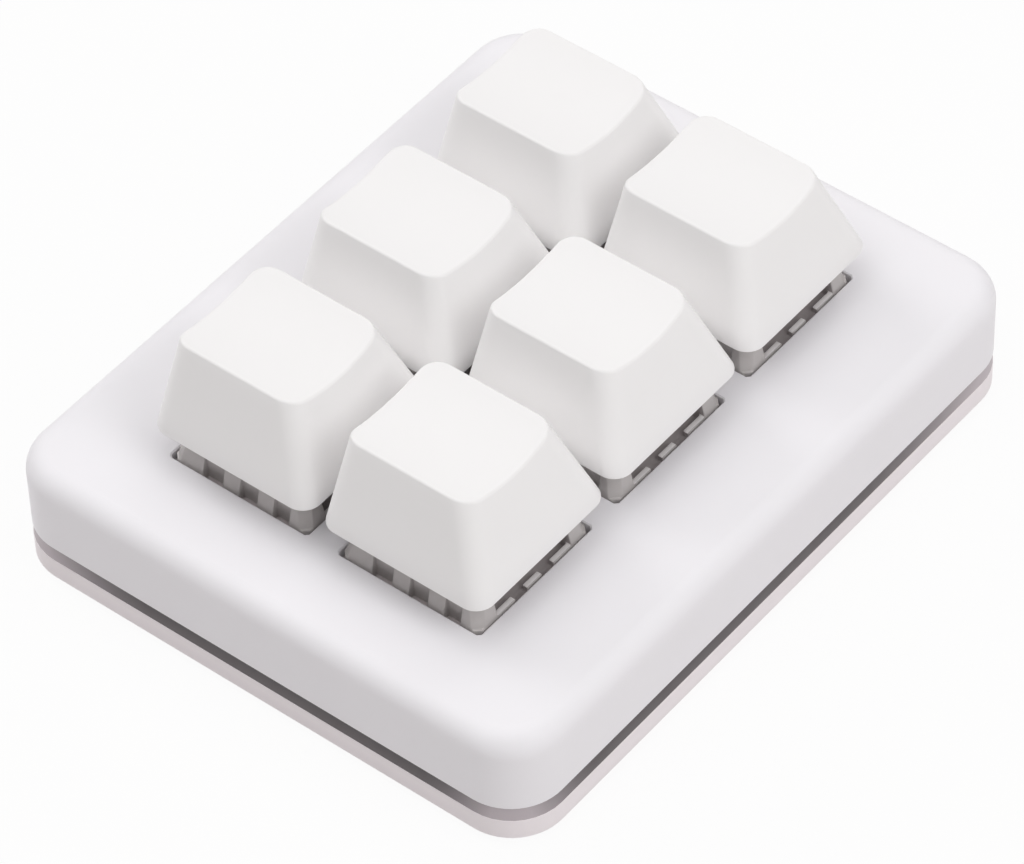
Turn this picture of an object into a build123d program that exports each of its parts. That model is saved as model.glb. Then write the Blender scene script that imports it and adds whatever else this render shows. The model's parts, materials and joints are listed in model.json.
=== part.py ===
from build123d import *
import math
import os

# Macro keypad: six sprung keys in a two-shell case with a grey band between the shells.
# Millimetres. +X points right, +Y to the back and +Z up, seen by the person who types.
# The origin lies on the table, under the middle of the case.

# Key field
KEY_PITCH = 19.05
COLUMN_NAMES = ("left", "middle", "right")
ROW_NAMES = ("front", "back")
CUT_OVERRUN = 1.0

# Case shells
SIDE_MARGIN = 7.625
END_MARGIN = 10.1
CASE_CORNER = 5.4
CASE_WALL = 2.2
DECK_THICKNESS = 2.0
DECK_EDGE_ROUND = 2.0
FLOOR_THICKNESS = 1.5
FLOOR_EDGE_CHAMFER = 0.15
RIM_HEIGHT = 2.4
RIM_EDGE_CHAMFER = 0.1
SEAM_HEIGHT = 1.6
SEAM_RECESS = 0.2
TONGUE_WALL = 1.2
TONGUE_GAP = 0.1
TONGUE_DROP = 0.2
OPENING_GAP = 0.06
OPENING_CHAMFER = 0.12
OPENING_CORNER = 0.3

# Screws, their posts and the feet
POST_DIAMETER = 5.0
POST_EDGE_GAP = 1.0
POST_HOLE_SPARE = 0.4
SCREW_DIAMETER = 2.0
SCREW_LENGTH = 7.4
SCREW_HEAD_DIAMETER = 3.6
SCREW_HEAD_HEIGHT = 1.2
SCREW_SINK = 0.2
SCREW_FIT = 0.05
SCREW_DRIVE_WIDTH = 2.0
SCREW_DRIVE_SLOT = 0.5
SCREW_DRIVE_DEPTH = 0.7
FOOT_DIAMETER = 8.0
FOOT_STAND = 0.8
FOOT_SINK = 0.7
FOOT_FIT = 0.1
FOOT_EDGE_CHAMFER = 0.4
FOOT_TO_SCREW = 9.0

# Switch plate and circuit board
PLATE_THICKNESS = 1.5
PLATE_EDGE_GAP = 0.4
PLATE_FIT = 0.05
BOARD_THICKNESS = 1.6
BOARD_EDGE_GAP = 0.4
BOARD_CORNER = 1.6
BOARD_FIT = 0.05
PEG_CLEARANCE = 0.4

# Key switch, from the plate it sits on
SWITCH_DEPTH = 5.0
FLANGE_WIDTH = 15.6
FLANGE_HEIGHT = 1.0
FLANGE_CORNER = 0.6
BODY_WIDTH = 13.9
BODY_FLOOR = 1.2
CLIP_WIDTH = 4.0
CLIP_HEIGHT = 0.7
CLIP_REACH = 0.35
CLIP_GAP = 0.05
CENTRE_PEG_DIAMETER = 3.9
CENTRE_PEG_LENGTH = 3.2
HOUSING_STEP = 0.12
HOUSING_CORNER = 0.9
HOUSING_SHOULDER_WIDTH = 14.3
HOUSING_SHOULDER_HEIGHT = 4.1
HOUSING_TOP_WIDTH = 10.8
HOUSING_HEIGHT = 6.6
HOUSING_ROOF = 1.2
SKIRT_HEIGHT = 1.9
WINDOW_DEPTH = 0.7
WINDOW_WALL = 1.7
WINDOW_SHARES = ((0.230, 0.376), (0.497, 0.630), (0.747, 0.865))
LAMP_SLOT_SIDE = 2.6
LAMP_SLOT_DEPTH = 1.6
LAMP_SLOT_ROOF = 1.3
LAMP_SLOT_FLOOR = 0.3
LAMP_SLOT_WALL = 0.8
LEDGE_WALL = 0.6
LEDGE_NOTCH_INNER = 1.0
LEDGE_NOTCH_WIDTH = 1.65
LEDGE_NOTCH_DEPTH = 0.6

# Stem, spring and contacts
KEY_TRAVEL = 3.6
STEM_WIDTH = 7.2
STEM_DEPTH = 5.5
STEM_GAP = 0.12
WING_REACH = 0.9
WING_HEIGHT = 1.15
WING_GAP = 0.05
CROSS_WIDTH = 4.0
CROSS_ARM = 1.2
CROSS_HEIGHT = 3.6
POLE_DIAMETER = 2.0
POLE_GAP = 0.15
POLE_REST_DEPTH = 0.2
PEG_END_WALL = 0.3
LEG_WIDTH = 0.9
LEG_THICKNESS = 0.65
LEG_LENGTH = 2.6
LEG_SPACING = 3.4
SPRING_DIAMETER = 3.8
SPRING_WIRE = 0.24
SPRING_TURNS = 3
POINTS_PER_TURN = 24
SPRING_END_GAP = 0.04
PIN_ONE_X = -3.81
PIN_ONE_Y = 2.54
PIN_TWO_X = 2.54
PIN_TWO_Y = 5.08
PIN_WIDTH = 1.2
PIN_THICKNESS = 0.3
PIN_LENGTH = 3.2
PIN_GAP = 0.12
LEAF_GAP = 0.12
LEAF_WIDTH = 3.2
LEAF_RISE = 3.9
CONTACT_SPACE = 0.9
CONTACT_SPARE = 0.48

# Keycap, from its lower edge
CAP_SPACE = 1.05
CAP_LIFT = 3.95
CAP_HEIGHT = 9.15
CAP_TOP_INSET_SIDE = 2.95
CAP_TOP_INSET_FRONT = 3.5
CAP_TOP_INSET_BACK = 1.0
CAP_CORNER = 1.9
CAP_WALL = 1.0
CAP_ROOF = 1.4
DISH_DEPTH = 0.93
SOCKET_TUBE_DIAMETER = 5.5
SOCKET_FIT = 0.04
SOCKET_SEAT_GAP = 0.05
SOCKET_END_GAP = 0.2
RIB_THICKNESS = 0.8
RIB_CLEARANCE = 0.3

# Parts on the board
USB_WIDTH = 8.94
USB_HEIGHT = 3.16
USB_LENGTH = 7.3
USB_SHEET = 0.3
USB_SETBACK = 0.8
USB_SLOT_GAP = 0.2
USB_TONGUE_WIDTH = 6.6
USB_TONGUE_THICKNESS = 0.7
USB_TONGUE_LENGTH = 5.4
CHIP_WIDTH = 5.0
CHIP_HEIGHT = 0.9
CHIP_CHAMFER = 0.4
CRYSTAL_WIDTH = 3.2
CRYSTAL_DEPTH = 2.5
CRYSTAL_HEIGHT = 0.8
REGULATOR_WIDTH = 3.0
REGULATOR_DEPTH = 1.4
REGULATOR_HEIGHT = 1.1
CHIP_PART_LENGTH = 1.6
CHIP_PART_WIDTH = 0.8
CHIP_PART_HEIGHT = 0.7
DIODE_LENGTH = 2.7
DIODE_WIDTH = 1.6
DIODE_HEIGHT = 1.1
DIODE_FROM_KEY_X = 6.0
DIODE_FROM_KEY_Y = 5.0
BACK_STRIP_Y_SHARE = 0.86
CHIP_X_SHARE = -0.36
CRYSTAL_X_SHARE = -0.55
REGULATOR_X_SHARE = 0.28
CAPACITOR_X_SHARES = (-0.235, 0.36, 0.43)
RESISTOR_X_SHARES = (0.5, 0.56, -0.66)

# Sizes that follow from the ones above
columns = len(COLUMN_NAMES)
rows = len(ROW_NAMES)
case_width = columns * KEY_PITCH + 2 * SIDE_MARGIN
case_depth = rows * KEY_PITCH + 2 * END_MARGIN
base_z = FOOT_STAND
floor_z = base_z + FLOOR_THICKNESS
rim_z = base_z + RIM_HEIGHT
split_z = rim_z + SEAM_HEIGHT
board_z = floor_z + PEG_CLEARANCE + max(CENTRE_PEG_LENGTH, PIN_LENGTH)
board_low_z = board_z - BOARD_THICKNESS
plate_z = board_z + SWITCH_DEPTH
plate_low_z = plate_z - PLATE_THICKNESS
deck_z = plate_z + DECK_THICKNESS
cap_z = deck_z + CAP_LIFT
flange_z = plate_z + FLANGE_HEIGHT
skirt_z = plate_z + SKIRT_HEIGHT
shoulder_z = plate_z + HOUSING_SHOULDER_HEIGHT
housing_z = plate_z + HOUSING_HEIGHT
ceiling_z = housing_z - HOUSING_ROOF
well_z = board_z + BODY_FLOOR
wing_z = ceiling_z - WING_GAP
stem_low_z = wing_z - WING_HEIGHT
pole_end_z = well_z - POLE_REST_DEPTH
peg_end_z = board_z - CENTRE_PEG_LENGTH
pin_end_z = board_z - PIN_LENGTH
tongue_z = board_z - TONGUE_DROP
seam_inset = CASE_WALL
tongue_inset = CASE_WALL + TONGUE_GAP
well_inset = tongue_inset + TONGUE_WALL
board_inset = well_inset + BOARD_EDGE_GAP
plate_inset = CASE_WALL + PLATE_EDGE_GAP
board_width = case_width - 2 * board_inset
board_depth = case_depth - 2 * board_inset
half_opening = FLANGE_WIDTH / 2 + OPENING_GAP
rim_chamfer = min(OPENING_CHAMFER, (KEY_PITCH / 2 - half_opening) / 2)
half_housing = FLANGE_WIDTH / 2 - HOUSING_STEP
slot_back = LAMP_SLOT_DEPTH - half_housing
leaf_y = STEM_DEPTH / 2 + LEG_THICKNESS + LEAF_GAP
fixed_y = leaf_y + CONTACT_SPACE
half_cavity = half_housing - WINDOW_DEPTH - WINDOW_WALL
cavity_x = (-half_cavity, half_cavity)
cavity_y = (slot_back + LAMP_SLOT_WALL, fixed_y + PIN_THICKNESS + CONTACT_SPARE)
cap_base = KEY_PITCH - CAP_SPACE
cap_ceiling = CAP_HEIGHT - DISH_DEPTH - CAP_ROOF
screw_x = case_width / 2 - well_inset - POST_EDGE_GAP - POST_DIAMETER / 2
screw_y = case_depth / 2 - well_inset - POST_EDGE_GAP - POST_DIAMETER / 2
screw_seat_z = base_z + SCREW_SINK + SCREW_HEAD_HEIGHT
screw_end_z = screw_seat_z + SCREW_LENGTH
corner_signs = {"front_left": (-1, -1), "front_right": (1, -1), "back_left": (-1, 1), "back_right": (1, 1)}
screw_places = [(sx * screw_x, sy * screw_y) for sx, sy in corner_signs.values()]
key_places = {
    f"{row}_{column}": ((i - (columns - 1) / 2) * KEY_PITCH, (j - (rows - 1) / 2) * KEY_PITCH)
    for j, row in enumerate(ROW_NAMES)
    for i, column in enumerate(COLUMN_NAMES)
}
pin_places = ((PIN_ONE_X, PIN_ONE_Y), (PIN_TWO_X, PIN_TWO_Y))


def rounded_block(width, depth, corner, low, high):
    """An upright block with rounded corners, centred on the origin, from low to high."""
    return extrude(Pos(0, 0, low) * RectangleRounded(width, depth, corner), amount=high - low)


def box_between(x, y, z):
    """A box given by its lowest and highest place along each axis."""
    size = [high - low for low, high in (x, y, z)]
    middle = [(high + low) / 2 for low, high in (x, y, z)]
    return Pos(*middle) * Box(*size)


def rod(diameter, low, high):
    """An upright round rod on the Z axis."""
    return Pos(0, 0, (low + high) / 2) * Cylinder(diameter / 2, high - low)


def inset_block(inset, low, high):
    """The case's outline drawn in all round by an inset."""
    corner = max(CASE_CORNER - inset, CASE_WALL / 2)
    return rounded_block(case_width - 2 * inset, case_depth - 2 * inset, corner, low, high)


def leaning_block(half, side, front, back, height):
    """A block on a square base, whose flat sides lean in to their places at its top."""
    across = Plane.XZ * Polygon((-half, 0), (half, 0), (side, height), (-side, height), align=None)
    along = Plane.YZ * Polygon((-half, 0), (half, 0), (back, height), (front, height), align=None)
    reach = half + CUT_OVERRUN
    return extrude(across, amount=reach, both=True) & extrude(along, amount=reach, both=True)


def usb_slot(spare, back, front):
    """The long rounded section of the cable port, from back to front along Y."""
    section = SlotOverall(USB_WIDTH + 2 * spare, USB_HEIGHT + 2 * spare)
    middle_z = board_z + USB_HEIGHT / 2
    return Pos(0, back, middle_z) * Rot(-90, 0, 0) * extrude(section, amount=front - back)


def make_top_case():
    """Upper shell: soft-edged deck with a window for each switch, four posts and the port."""
    shell = inset_block(0, split_z, deck_z)
    shell = fillet(shell.faces().sort_by(Axis.Z)[-1].edges(), DECK_EDGE_ROUND)
    shell -= inset_block(CASE_WALL, split_z - CUT_OVERRUN, plate_z)
    cut_z = (plate_z - CUT_OVERRUN, deck_z + CUT_OVERRUN)
    opening = box_between((-half_opening, half_opening), (-half_opening, half_opening), cut_z)
    opening = chamfer(opening.edges().filter_by(Axis.Z), OPENING_CORNER)
    for x, y in key_places.values():
        shell -= Pos(x, y, 0) * opening
    rims = [wire.edges() for wire in shell.faces().sort_by(Axis.Z)[-1].inner_wires()]
    shell = chamfer([edge for rim in rims for edge in rim], rim_chamfer)
    hole = rod(SCREW_DIAMETER + 2 * SCREW_FIT, board_z - CUT_OVERRUN, screw_end_z + POST_HOLE_SPARE)
    post = rod(POST_DIAMETER, board_z, plate_z) - hole
    for x, y in screw_places:
        shell += Pos(x, y, 0) * post
    inner_y = case_depth / 2 - CASE_WALL - CUT_OVERRUN
    return shell - usb_slot(USB_SLOT_GAP, inner_y, case_depth / 2 + CUT_OVERRUN)


def make_bottom_case():
    """Lower shell: floor, low rim, inner tongue, screw posts and recesses for the feet."""
    shell = inset_block(0, base_z, rim_z)
    shell = chamfer(shell.faces().sort_by(Axis.Z)[-1].edges(), RIM_EDGE_CHAMFER)
    shell = chamfer(shell.faces().sort_by(Axis.Z)[0].edges(), FLOOR_EDGE_CHAMFER)
    shell += inset_block(tongue_inset, floor_z, tongue_z)
    shell -= inset_block(well_inset, floor_z, tongue_z + CUT_OVERRUN)
    head_hole = rod(SCREW_HEAD_DIAMETER + 2 * SCREW_FIT, base_z - CUT_OVERRUN, screw_seat_z)
    shank_hole = rod(SCREW_DIAMETER + 2 * SCREW_FIT, base_z, board_low_z + CUT_OVERRUN)
    for x, y in screw_places:
        shell += Pos(x, y, 0) * rod(POST_DIAMETER, floor_z, board_low_z)
        shell -= Pos(x, y, 0) * (head_hole + shank_hole)
    recess = rod(FOOT_DIAMETER + 2 * FOOT_FIT, base_z - CUT_OVERRUN, base_z + FOOT_SINK)
    for place in foot_places().values():
        shell -= Pos(*place, 0) * recess
    return shell


def make_seam_band():
    """Grey band that fills the gap between the shells, set back from their faces."""
    return inset_block(SEAM_RECESS, rim_z, split_z) - inset_block(seam_inset, rim_z, split_z)


def foot_places():
    """Each foot stands beside a screw, towards the middle of the long side."""
    return {
        name: (sx * (screw_x - FOOT_TO_SCREW), sy * screw_y)
        for name, (sx, sy) in corner_signs.items()
    }


def make_foot():
    """Rubber foot, a disc with a bevelled lower edge."""
    disc = rod(FOOT_DIAMETER, 0, base_z + FOOT_SINK)
    return chamfer(disc.edges().sort_by(Axis.Z)[0], FOOT_EDGE_CHAMFER)


def make_screw():
    """Case screw with a round head and a cross drive, entered from below."""
    head_low_z = base_z + SCREW_SINK
    screw = rod(SCREW_HEAD_DIAMETER, head_low_z, screw_seat_z)
    screw += rod(SCREW_DIAMETER, screw_seat_z, screw_end_z)
    reach = SCREW_DRIVE_WIDTH / 2
    half_slot = SCREW_DRIVE_SLOT / 2
    depth = (head_low_z - CUT_OVERRUN, head_low_z + SCREW_DRIVE_DEPTH)
    screw -= box_between((-reach, reach), (-half_slot, half_slot), depth)
    screw -= box_between((-half_slot, half_slot), (-reach, reach), depth)
    return screw


def make_plate():
    """Sheet under the deck that the switches clip into, cut out for the posts and the port."""
    half_x = case_width / 2 - plate_inset
    half_y = case_depth / 2 - plate_inset
    plate = box_between((-half_x, half_x), (-half_y, half_y), (plate_low_z, plate_z))
    half_cut = BODY_WIDTH / 2 + PLATE_FIT
    cut_z = (plate_low_z - CUT_OVERRUN, plate_z + CUT_OVERRUN)
    cut = box_between((-half_cut, half_cut), (-half_cut, half_cut), cut_z)
    for x, y in key_places.values():
        plate -= Pos(x, y, 0) * cut
    notch_x = (screw_x - POST_DIAMETER / 2 - PLATE_EDGE_GAP, case_width / 2)
    notch_y = (screw_y - POST_DIAMETER / 2 - PLATE_EDGE_GAP, case_depth / 2)
    for sx, sy in corner_signs.values():
        plate -= box_between(sorted(sx * x for x in notch_x), sorted(sy * y for y in notch_y), cut_z)
    port_x = USB_WIDTH / 2 + PLATE_EDGE_GAP
    port_y = case_depth / 2 - USB_SETBACK - USB_LENGTH - PLATE_EDGE_GAP
    return plate - box_between((-port_x, port_x), (port_y, case_depth / 2), cut_z)


def make_board():
    """Circuit board, clamped between the posts, with holes for pegs, pins and screws."""
    board = rounded_block(board_width, board_depth, BOARD_CORNER, board_low_z, board_z)
    cut_z = (board_low_z - CUT_OVERRUN, board_z + CUT_OVERRUN)
    for x, y in key_places.values():
        board -= Pos(x, y, 0) * rod(CENTRE_PEG_DIAMETER + 2 * BOARD_FIT, *cut_z)
        for px, py in pin_places:
            board -= Pos(x + px, y + py, 0) * pin_block(PIN_GAP, *cut_z)
    for x, y in screw_places:
        board -= Pos(x, y, 0) * rod(SCREW_DIAMETER + 2 * SCREW_FIT, *cut_z)
    return board


def pin_block(spare, low, high):
    """The flat section of a contact pin, or of the slot it passes through."""
    half_width = PIN_WIDTH / 2 + spare
    half_thickness = PIN_THICKNESS / 2 + spare
    return box_between((-half_width, half_width), (-half_thickness, half_thickness), (low, high))


def make_switch_base():
    """Lower half of a switch: flange on the plate, well for the spring, centre peg and clips."""
    brim = FLANGE_WIDTH / 2
    half = BODY_WIDTH / 2
    base = box_between((-brim, brim), (-brim, brim), (plate_z, flange_z))
    base = chamfer(base.edges().filter_by(Axis.Z), FLANGE_CORNER)
    base += box_between((-half, half), (-half, half), (board_z, plate_z))
    base += rod(CENTRE_PEG_DIAMETER, peg_end_z, board_z)
    clip_z = plate_low_z - CLIP_GAP
    for side in (-1, 1):
        reach = sorted((0, side * (half + CLIP_REACH)))
        base += box_between((-CLIP_WIDTH / 2, CLIP_WIDTH / 2), reach, (clip_z - CLIP_HEIGHT, clip_z))
    base -= box_between(cavity_x, cavity_y, (well_z, flange_z + CUT_OVERRUN))
    base -= rod(POLE_DIAMETER + 2 * POLE_GAP, peg_end_z + PEG_END_WALL, well_z + CUT_OVERRUN)
    foot_z = (well_z, well_z + PIN_THICKNESS + PIN_GAP)
    for px, py in pin_places:
        base -= Pos(px, py, 0) * pin_block(PIN_GAP, board_z - CUT_OVERRUN, foot_z[1])
        half_foot = PIN_WIDTH / 2 + PIN_GAP
        base -= box_between((px - half_foot, px + half_foot), (0, py + PIN_THICKNESS / 2 + PIN_GAP), foot_z)
    return base


def tower_slab(angle, spread, trim):
    """A slab with the switch tower's outline, spread and then trimmed, turned about Z."""
    levels = (
        (half_housing, skirt_z),
        (HOUSING_SHOULDER_WIDTH / 2, shoulder_z),
        (HOUSING_TOP_WIDTH / 2, housing_z),
    )
    right = [(half * spread - trim, z) for half, z in levels]
    left = [(-x, z) for x, z in reversed(right)]
    outline = Plane.XZ * Polygon(*right, *left, align=None)
    return Rot(0, 0, angle) * extrude(outline, amount=FLANGE_WIDTH, both=True)


def switch_tower():
    """A switch above its skirt: nearly upright to a shoulder, leaning in, with bevelled corners."""
    diagonal = math.sqrt(2)
    trim = HOUSING_CORNER / diagonal
    sides = tower_slab(0, 1, 0) & tower_slab(90, 1, 0)
    return sides & tower_slab(45, diagonal, trim) & tower_slab(135, diagonal, trim)


def make_switch_top():
    """Upper half of a switch: tower with side windows and a lamp slot at the front."""
    half = half_housing
    skirt = box_between((-half, half), (-half, half), (flange_z, skirt_z))
    housing = chamfer(skirt.edges().filter_by(Axis.Z), FLANGE_CORNER) + switch_tower()
    housing -= box_between(cavity_x, cavity_y, (flange_z - CUT_OVERRUN, ceiling_z))
    mouth_x = STEM_WIDTH / 2 + STEM_GAP
    mouth_y = STEM_DEPTH / 2 + STEM_GAP
    housing -= box_between((-mouth_x, mouth_x), (-mouth_y, mouth_y), (flange_z, housing_z + CUT_OVERRUN))
    for side in (-1, 1):
        reach = sorted((side * (half - WINDOW_DEPTH), side * (half + CUT_OVERRUN)))
        for back_share, front_share in WINDOW_SHARES:
            span = (half - 2 * half * front_share, half - 2 * half * back_share)
            housing -= box_between(reach, span, (flange_z - CUT_OVERRUN, ceiling_z))
    slot_x = (LAMP_SLOT_SIDE - half, half - LAMP_SLOT_SIDE)
    slot_top = housing_z - LAMP_SLOT_ROOF
    ledge_y = LEDGE_WALL - half
    open_y = (-half - CUT_OVERRUN, slot_back)
    housing -= box_between(slot_x, (ledge_y, slot_back), (flange_z + LAMP_SLOT_FLOOR, slot_top))
    housing -= box_between(slot_x, open_y, (skirt_z, slot_top))
    for side in (-1, 1):
        span = sorted((side * LEDGE_NOTCH_INNER, side * (LEDGE_NOTCH_INNER + LEDGE_NOTCH_WIDTH)))
        housing -= box_between(span, open_y, (skirt_z - LEDGE_NOTCH_DEPTH, slot_top))
    return housing


def make_stem():
    """Slider of a switch: guided block with wings, cross for the cap, legs and guide pole."""
    half_x = STEM_WIDTH / 2
    half_y = STEM_DEPTH / 2
    stem = box_between((-half_x, half_x), (-half_y, half_y), (stem_low_z, housing_z))
    wing_x = half_x + WING_REACH
    stem += box_between((-wing_x, wing_x), (-half_y, half_y), (stem_low_z, wing_z))
    arm = CROSS_ARM / 2
    tip = CROSS_WIDTH / 2
    cross_z = (housing_z, housing_z + CROSS_HEIGHT)
    stem += box_between((-tip, tip), (-arm, arm), cross_z)
    stem += box_between((-arm, arm), (-tip, tip), cross_z)
    for side in (-1, 1):
        leg = Pos(side * LEG_SPACING / 2, 0, 0) * box_between(
            (-LEG_WIDTH / 2, LEG_WIDTH / 2),
            (half_y - LEG_THICKNESS, half_y + LEG_THICKNESS),
            (wing_z - LEG_LENGTH, wing_z),
        )
        stem += leg
    return stem + rod(POLE_DIAMETER, pole_end_z, stem_low_z)


def make_contacts():
    """Two bent strips: the leaf by the stem's legs, and the fixed contact behind it."""
    strips = []
    for (px, py), wall_y in zip(pin_places, (fixed_y, leaf_y)):
        low, high = sorted((py - PIN_THICKNESS / 2, wall_y))
        foot = (low, max(high, wall_y + PIN_THICKNESS, py + PIN_THICKNESS / 2))
        pin_x = (px - PIN_WIDTH / 2, px + PIN_WIDTH / 2)
        inner = px - math.copysign(LEAF_WIDTH - PIN_WIDTH / 2, px)
        outer = px + math.copysign(PIN_WIDTH / 2, px)
        strip = Pos(px, py, 0) * pin_block(0, pin_end_z, well_z + PIN_THICKNESS)
        strip += box_between(pin_x, foot, (well_z, well_z + PIN_THICKNESS))
        wall = (wall_y, wall_y + PIN_THICKNESS)
        strip += box_between(sorted((inner, outer)), wall, (well_z, well_z + LEAF_RISE))
        strips.append(strip)
    return strips


def biarc(start, start_way, end, end_way):
    """Two tangent arcs from one point and direction to another."""
    span = end - start
    ways = start_way + end_way
    bend = 2 * (1 - start_way.dot(end_way))
    along = span.dot(ways)
    reach = (math.sqrt(along**2 + bend * span.dot(span)) - along) / bend
    first = start + start_way * reach
    second = end - end_way * reach
    middle = (first + second) / 2
    return [
        TangentArc(start, middle, tangent=start_way),
        TangentArc(middle, end, tangent=(second - first).normalized()),
    ]


def make_spring():
    """Coil spring between the well and the stem, one unbroken wire of flat-sided section."""
    radius = (SPRING_DIAMETER - SPRING_WIRE) / 2
    low = well_z + SPRING_END_GAP + SPRING_WIRE / 2
    high = stem_low_z - SPRING_END_GAP - SPRING_WIRE / 2
    half_turns = 2 * SPRING_TURNS
    rise = (high - low) / (math.pi * half_turns)

    def place(turn):
        return Vector(radius * math.cos(turn), radius * math.sin(turn), low + rise * turn)

    def way(turn):
        return Vector(-radius * math.sin(turn), radius * math.cos(turn), rise).normalized()

    turns = [math.pi * k for k in range(half_turns + 1)]
    arcs = []
    for a, b in zip(turns, turns[1:]):
        arcs += biarc(place(a), way(a), place(b), way(b))
    section = Plane(place(0), x_dir=(1, 0, 0), z_dir=way(0)) * Rectangle(SPRING_WIRE, SPRING_WIRE)
    path = Wire(arcs)
    return sweep(section, path=path), least_gap(path)


def least_gap(path):
    """The least clear space from one turn of a spring's wire to another, measured on points."""
    count = SPRING_TURNS * POINTS_PER_TURN
    points = [path.position_at(i / count) for i in range(count + 1)]
    half_turn = POINTS_PER_TURN // 2
    return min((a - b).length for i, a in enumerate(points) for b in points[i + half_turn:]) - SPRING_WIRE


def cap_block(top, inset):
    """The cap's leaning block from its lower edge up to a height, drawn in by a wall."""
    share = top / CAP_HEIGHT
    half = cap_base / 2 - inset
    side = half - CAP_TOP_INSET_SIDE * share
    front = CAP_TOP_INSET_FRONT * share - half
    back = half - CAP_TOP_INSET_BACK * share
    return leaning_block(half, side, front, back, top)


def make_keycap():
    """Sculpted keycap: leaning sides, dished top, hollow inside, tube with a cross socket."""
    cap = cap_block(CAP_HEIGHT + DISH_DEPTH, 0)
    cap = fillet(cap.edges().filter_by(Plane.XY, reverse=True), CAP_CORNER)
    half_top = cap_base / 2 - CAP_TOP_INSET_SIDE
    dish_radius = (half_top**2 + DISH_DEPTH**2) / (2 * DISH_DEPTH)
    dish = Rot(90, 0, 0) * Cylinder(dish_radius, cap_base + 2 * CUT_OVERRUN)
    cap -= Pos(0, 0, CAP_HEIGHT - DISH_DEPTH + dish_radius) * dish
    cap -= cap_block(cap_ceiling, CAP_WALL)
    seat = housing_z + SOCKET_SEAT_GAP - cap_z
    cap += rod(SOCKET_TUBE_DIAMETER, seat, cap_ceiling)
    rib_low = housing_z - (cap_z - KEY_TRAVEL) + RIB_CLEARANCE
    half_rib = RIB_THICKNESS / 2
    reach = cap_base / 2 - CAP_TOP_INSET_SIDE * cap_ceiling / CAP_HEIGHT - CAP_WALL
    cap += box_between((-reach, reach), (-half_rib, half_rib), (rib_low, cap_ceiling))
    arm = CROSS_ARM / 2 + SOCKET_FIT
    tip = CROSS_WIDTH / 2 + SOCKET_FIT
    depth = (seat - CUT_OVERRUN, housing_z + CROSS_HEIGHT + SOCKET_END_GAP - cap_z)
    cap -= box_between((-tip, tip), (-arm, arm), depth)
    cap -= box_between((-arm, arm), (-tip, tip), depth)
    return Pos(0, 0, cap_z) * cap


def make_usb_shell():
    """Metal shell of the cable port, open at the back face of the case."""
    mouth = case_depth / 2 - USB_SETBACK
    shell = usb_slot(0, mouth - USB_LENGTH, mouth)
    return shell - usb_slot(-USB_SHEET, mouth - USB_LENGTH + USB_SHEET, mouth + CUT_OVERRUN)


def make_usb_tongue():
    """Flat contact tongue inside the port."""
    root = case_depth / 2 - USB_SETBACK - USB_LENGTH + USB_SHEET
    middle_z = board_z + USB_HEIGHT / 2
    half = USB_TONGUE_WIDTH / 2
    rise = USB_TONGUE_THICKNESS / 2
    return box_between((-half, half), (root, root + USB_TONGUE_LENGTH), (middle_z - rise, middle_z + rise))


def on_board(x_share, width, depth, height):
    """A small part soldered on the strip of board behind the keys."""
    place = Pos(x_share * board_width / 2, BACK_STRIP_Y_SHARE * board_depth / 2, board_z + height / 2)
    return place * Box(width, depth, height)


def make_chip():
    """Controller in a flat square package with a bevelled top."""
    chip = on_board(CHIP_X_SHARE, CHIP_WIDTH, CHIP_WIDTH, CHIP_HEIGHT)
    return chamfer(chip.faces().sort_by(Axis.Z)[-1].edges(), CHIP_CHAMFER)


def make_chip_parts(shares):
    """A row of small soldered parts."""
    return [on_board(share, CHIP_PART_WIDTH, CHIP_PART_LENGTH, CHIP_PART_HEIGHT) for share in shares]


def make_diodes():
    """One diode under the board for each key."""
    body = Box(DIODE_WIDTH, DIODE_LENGTH, DIODE_HEIGHT)
    return [
        Pos(x + DIODE_FROM_KEY_X, y - DIODE_FROM_KEY_Y, board_low_z - DIODE_HEIGHT / 2) * body
        for x, y in key_places.values()
    ]


def as_node(solids):
    """One solid as it is, or several kept apart as a group."""
    return Compound(children=list(solids)) if isinstance(solids, list) else solids


parts = {
    "top_case": make_top_case(),
    "bottom_case": make_bottom_case(),
    "seam_band": make_seam_band(),
    "switch_plate": make_plate(),
    "circuit_board": make_board(),
    "case_screws": [Pos(x, y, 0) * make_screw() for x, y in screw_places],
    "usb_shell": make_usb_shell(),
    "usb_tongue": make_usb_tongue(),
    "controller_chip": make_chip(),
    "crystal": on_board(CRYSTAL_X_SHARE, CRYSTAL_WIDTH, CRYSTAL_DEPTH, CRYSTAL_HEIGHT),
    "voltage_regulator": on_board(REGULATOR_X_SHARE, REGULATOR_WIDTH, REGULATOR_DEPTH, REGULATOR_HEIGHT),
    "capacitors": make_chip_parts(CAPACITOR_X_SHARES),
    "resistors": make_chip_parts(RESISTOR_X_SHARES),
    "diodes": make_diodes(),
}
foot = make_foot()
for name, place in foot_places().items():
    parts[f"foot_{name}"] = Pos(*place, 0) * foot

spring, spring_gap = make_spring()
key_pieces = {
    "keycap": make_keycap(),
    "stem": make_stem(),
    "switch_top": make_switch_top(),
    "switch_base": make_switch_base(),
    "switch_spring": spring,
    "contacts": make_contacts(),
}
for key, place in key_places.items():
    for piece, solid in key_pieces.items():
        solids = solid if isinstance(solid, list) else [solid]
        moved = [Pos(*place, 0) * one for one in solids]
        parts[f"{piece}_{key}"] = moved if isinstance(solid, list) else moved[0]

os.makedirs("parts", exist_ok=True)
for name, solids in parts.items():
    export_step(as_node(solids), f"parts/{name}.step")
print(f"{len(parts)} nodes; case {case_width:.2f} x {case_depth:.2f} mm, deck at {deck_z:.2f} mm")
print(f"least gap between the turns of a spring: {spring_gap:.2f} mm")
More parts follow.
